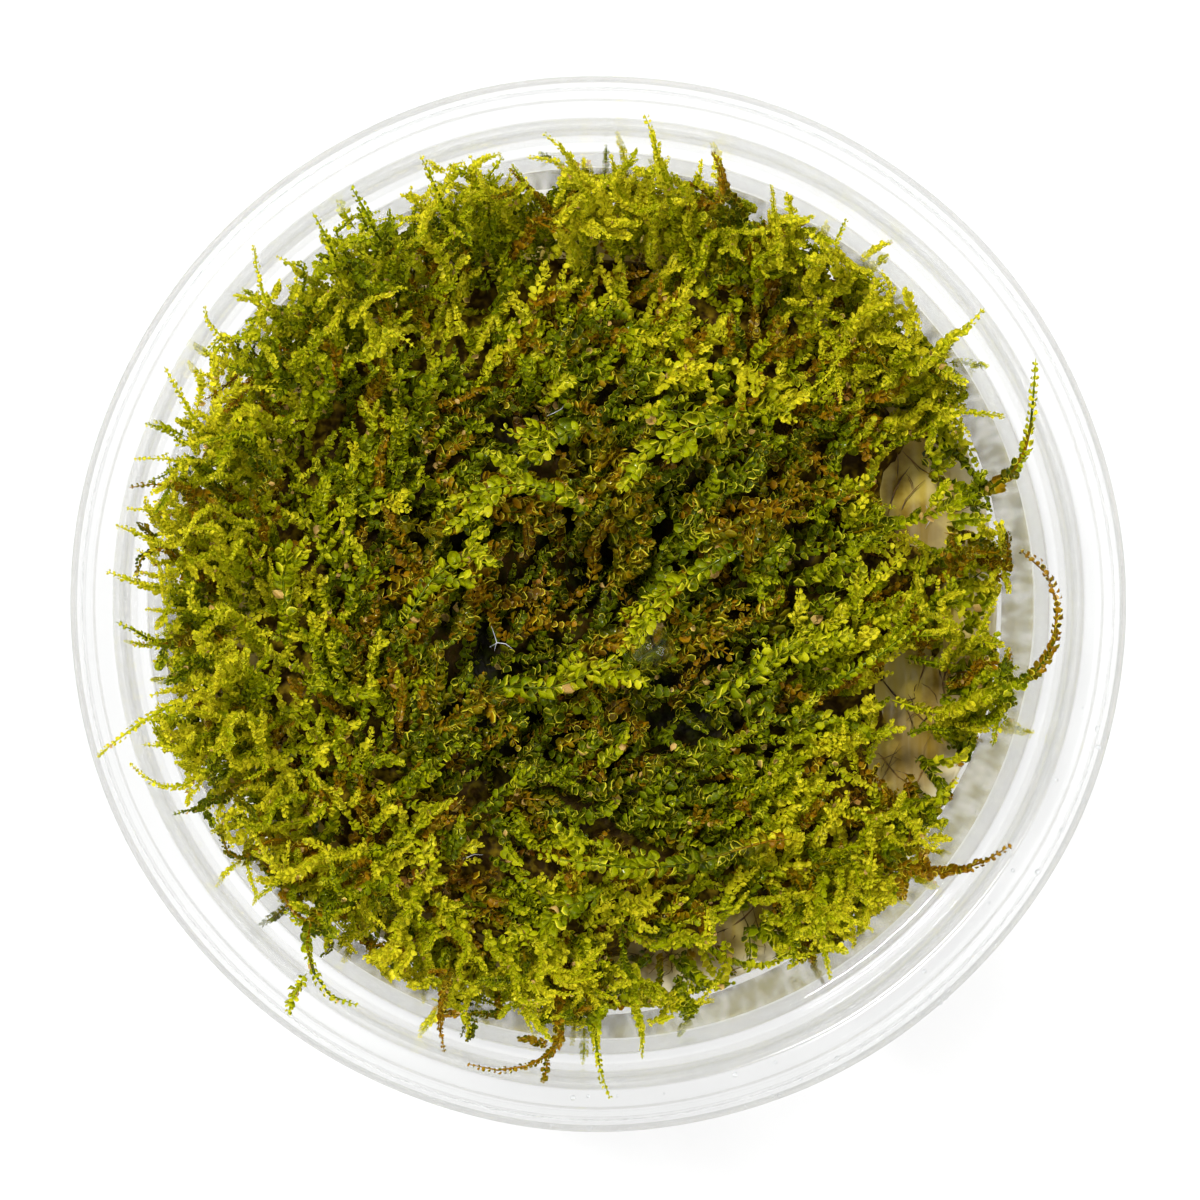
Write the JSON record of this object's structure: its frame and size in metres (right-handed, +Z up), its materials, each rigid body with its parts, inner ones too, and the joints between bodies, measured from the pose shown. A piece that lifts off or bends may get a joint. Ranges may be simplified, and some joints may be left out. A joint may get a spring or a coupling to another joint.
{
  "type": "moss clump",
  "caption": "Clump of leafy bead-like moss shoots growing on set nutrient gel in a round clear plastic culture cup, open at the top.",
  "frame": {"origin": "middle of the cup's flat underside", "axes": "+Z up along the cup's axis, out of its open mouth; +X towards the thin side of the moss, where the gel shows, and +Y towards the side where the upright shoots lean over the rim"},
  "size_m": [0.08, 0.08, 0.0498],
  "materials": {
    "clear_plastic": "gloss",
    "gel": "gloss",
    "matted_moss": "satin",
    "moss_shoot": "satin"
  },
  "bodies": {
    "root": {"culture_cup": "clear_plastic", "nutrient_gel": "gel", "moss_mat": "matted_moss", "left_shoot_01": "moss_shoot", "left_shoot_02": "moss_shoot", "left_shoot_03": "moss_shoot", "left_shoot_04": "moss_shoot", "left_shoot_05": "moss_shoot", "left_shoot_06": "moss_shoot", "left_shoot_07": "moss_shoot", "left_shoot_08": "moss_shoot", "left_shoot_09": "moss_shoot", "left_shoot_10": "moss_shoot", "left_shoot_11": "moss_shoot", "left_shoot_12": "moss_shoot", "left_shoot_13": "moss_shoot", "left_shoot_14": "moss_shoot", "top_shoot_01": "moss_shoot", "top_shoot_02": "moss_shoot", "top_shoot_03": "moss_shoot", "top_shoot_04": "moss_shoot", "top_shoot_05": "moss_shoot", "top_shoot_06": "moss_shoot", "top_shoot_07": "moss_shoot", "top_shoot_08": "moss_shoot", "top_shoot_09": "moss_shoot", "top_shoot_10": "moss_shoot", "top_shoot_11": "moss_shoot", "top_shoot_12": "moss_shoot", "top_shoot_13": "moss_shoot", "top_shoot_14": "moss_shoot", "right_shoot_01": "moss_shoot", "right_shoot_02": "moss_shoot", "right_shoot_03": "moss_shoot", "right_shoot_04": "moss_shoot", "right_shoot_05": "moss_shoot", "right_shoot_06": "moss_shoot", "bottom_shoot_01": "moss_shoot", "bottom_shoot_02": "moss_shoot", "bottom_shoot_03": "moss_shoot", "bottom_shoot_04": "moss_shoot", "bottom_shoot_05": "moss_shoot", "bottom_shoot_06": "moss_shoot", "bottom_shoot_07": "moss_shoot", "bottom_shoot_08": "moss_shoot", "bottom_shoot_09": "moss_shoot", "bottom_shoot_10": "moss_shoot", "middle_shoot_01": "moss_shoot", "middle_shoot_02": "moss_shoot", "middle_shoot_03": "moss_shoot", "middle_shoot_04": "moss_shoot", "middle_shoot_05": "moss_shoot", "middle_shoot_06": "moss_shoot", "middle_shoot_07": "moss_shoot", "middle_shoot_08": "moss_shoot", "middle_shoot_09": "moss_shoot", "middle_shoot_10": "moss_shoot"}
  },
  "joints": []
}
